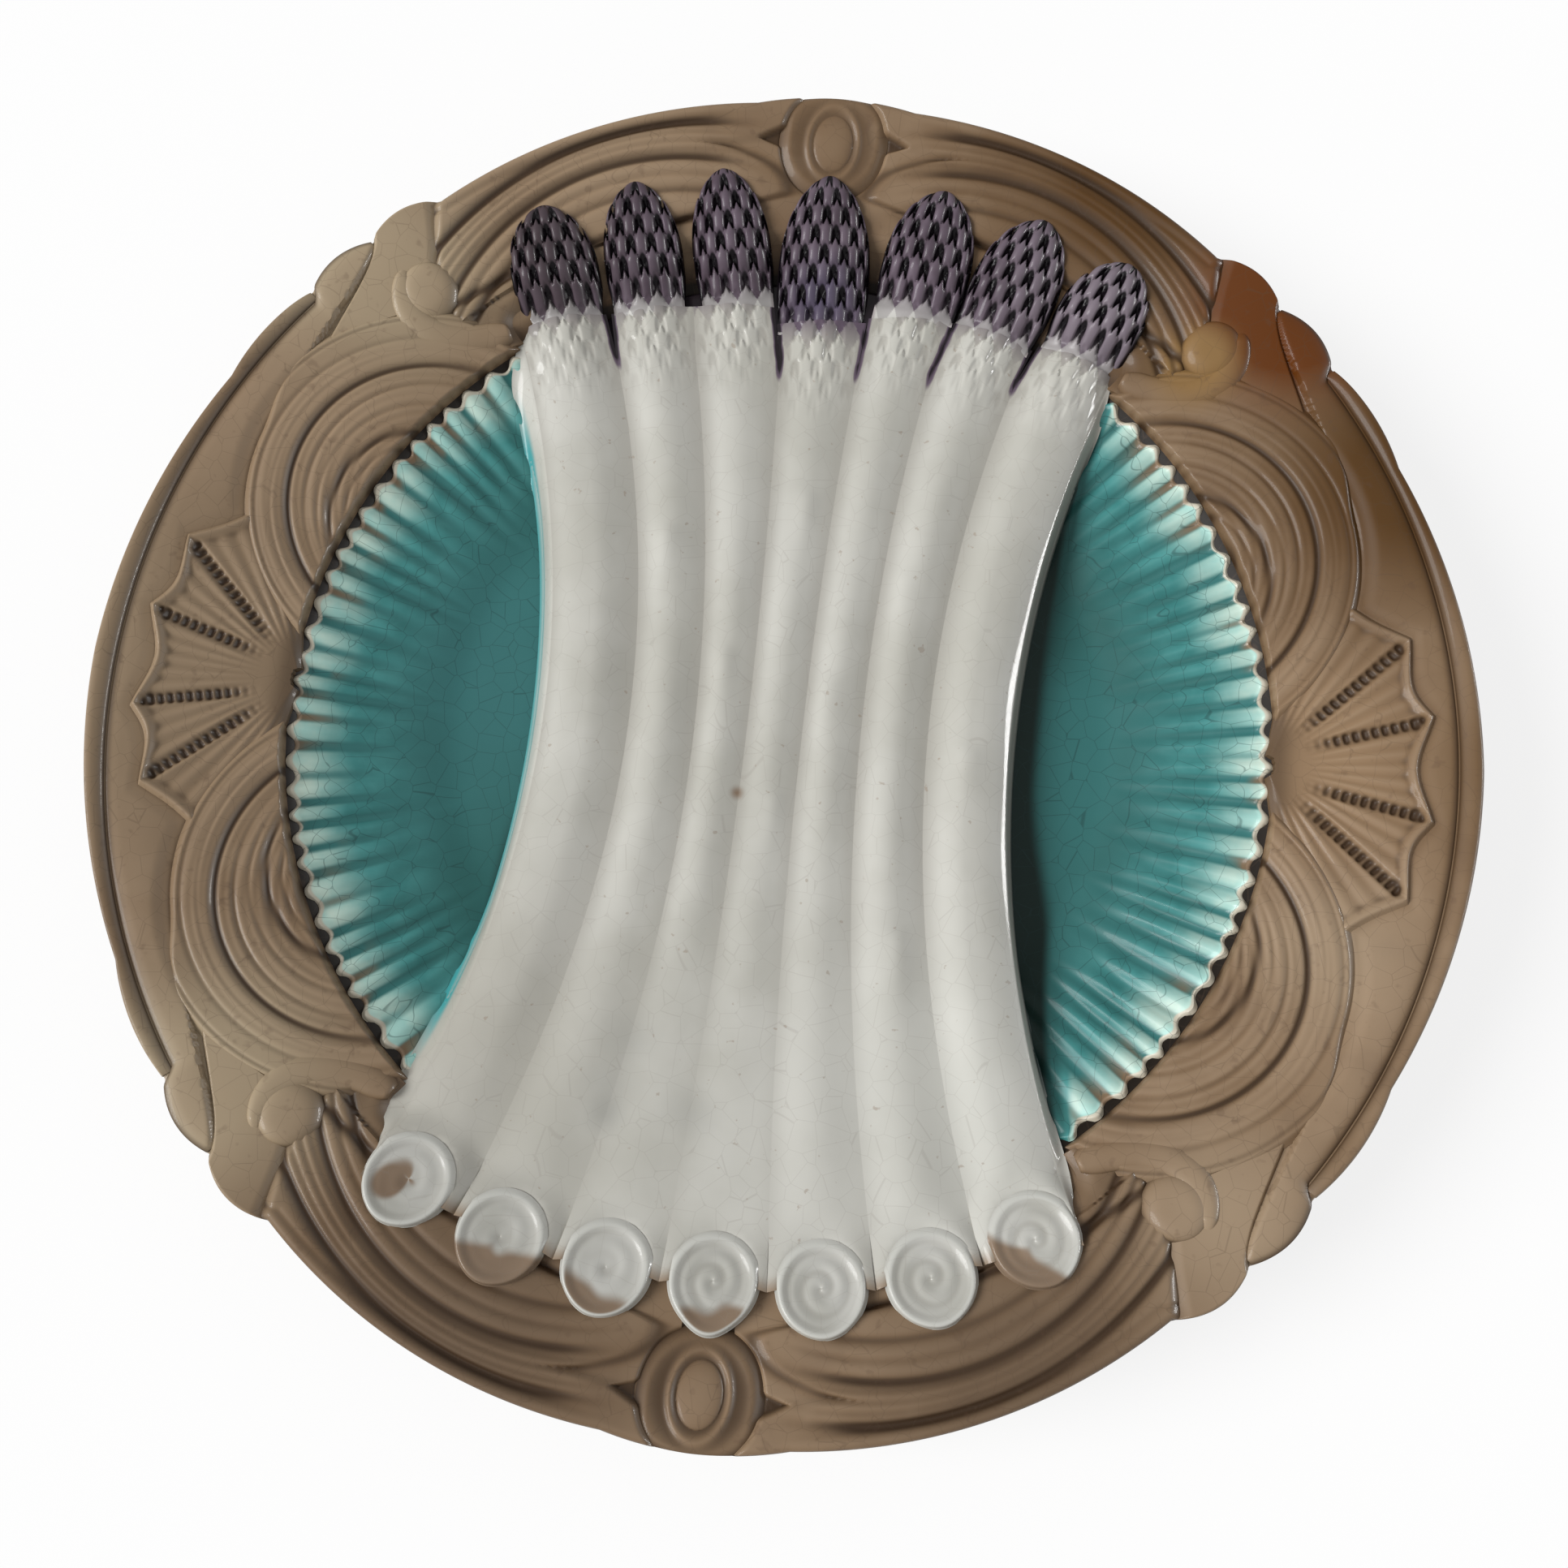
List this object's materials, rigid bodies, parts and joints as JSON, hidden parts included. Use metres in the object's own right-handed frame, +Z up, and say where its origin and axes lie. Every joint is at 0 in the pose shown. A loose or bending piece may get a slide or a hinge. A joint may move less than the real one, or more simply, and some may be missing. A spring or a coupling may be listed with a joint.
{
  "type": "asparagus plate",
  "caption": "Round glazed earthenware plate with a raised cradle of moulded asparagus spears, a fluted sauce well on each side and a moulded scroll rim.",
  "frame": {"origin": "centre of the foot ring, on the surface that the plate stands on", "axes": "+Z up, out of the plate's face; +Y towards the spear tips; +X to the right seen from above with the tips away from the viewer"},
  "size_m": [0.2412, 0.241, 0.0287],
  "materials": {
    "rim_glaze": "taupe brown majolica glaze, darker where it pools in the grooves",
    "stalk_glaze": "crazed off-white glaze",
    "tip_glaze": "dull purple glaze, nearly black between the scales",
    "well_glaze": "turquoise glaze, pale on the ridges of the flutes",
    "foot_clay": "bare buff clay, wiped clean of glaze"
  },
  "bodies": {
    "root": {"dish": "rim_glaze", "foot_ring": "foot_clay", "cradle": "stalk_glaze", "well_right": "well_glaze", "well_left": "well_glaze", "tip_1": "tip_glaze", "stalk_1": "stalk_glaze", "cut_end_1": "stalk_glaze", "tip_2": "tip_glaze", "stalk_2": "stalk_glaze", "cut_end_2": "stalk_glaze", "tip_3": "tip_glaze", "stalk_3": "stalk_glaze", "cut_end_3": "stalk_glaze", "tip_4": "tip_glaze", "stalk_4": "stalk_glaze", "cut_end_4": "stalk_glaze", "tip_5": "tip_glaze", "stalk_5": "stalk_glaze", "cut_end_5": "stalk_glaze", "tip_6": "tip_glaze", "stalk_6": "stalk_glaze", "cut_end_6": "stalk_glaze", "tip_7": "tip_glaze", "stalk_7": "stalk_glaze", "cut_end_7": "stalk_glaze", "reeded_leaf_upper_right": "rim_glaze", "scroll_upper_right": "rim_glaze", "volute_upper_right": "rim_glaze", "corner_leaf_upper_right": "rim_glaze", "reeded_leaf_upper_left": "rim_glaze", "scroll_upper_left": "rim_glaze", "volute_upper_left": "rim_glaze", "corner_leaf_upper_left": "rim_glaze", "reeded_leaf_lower_right": "rim_glaze", "scroll_lower_right": "rim_glaze", "volute_lower_right": "rim_glaze", "corner_leaf_lower_right": "rim_glaze", "reeded_leaf_lower_left": "rim_glaze", "scroll_lower_left": "rim_glaze", "volute_lower_left": "rim_glaze", "corner_leaf_lower_left": "rim_glaze", "shell_right": "rim_glaze", "side_border_right": "rim_glaze", "side_band_right": "rim_glaze", "shell_left": "rim_glaze", "side_border_left": "rim_glaze", "side_band_left": "rim_glaze", "medallion_top": "rim_glaze", "medallion_bottom": "rim_glaze"}
  },
  "joints": []
}
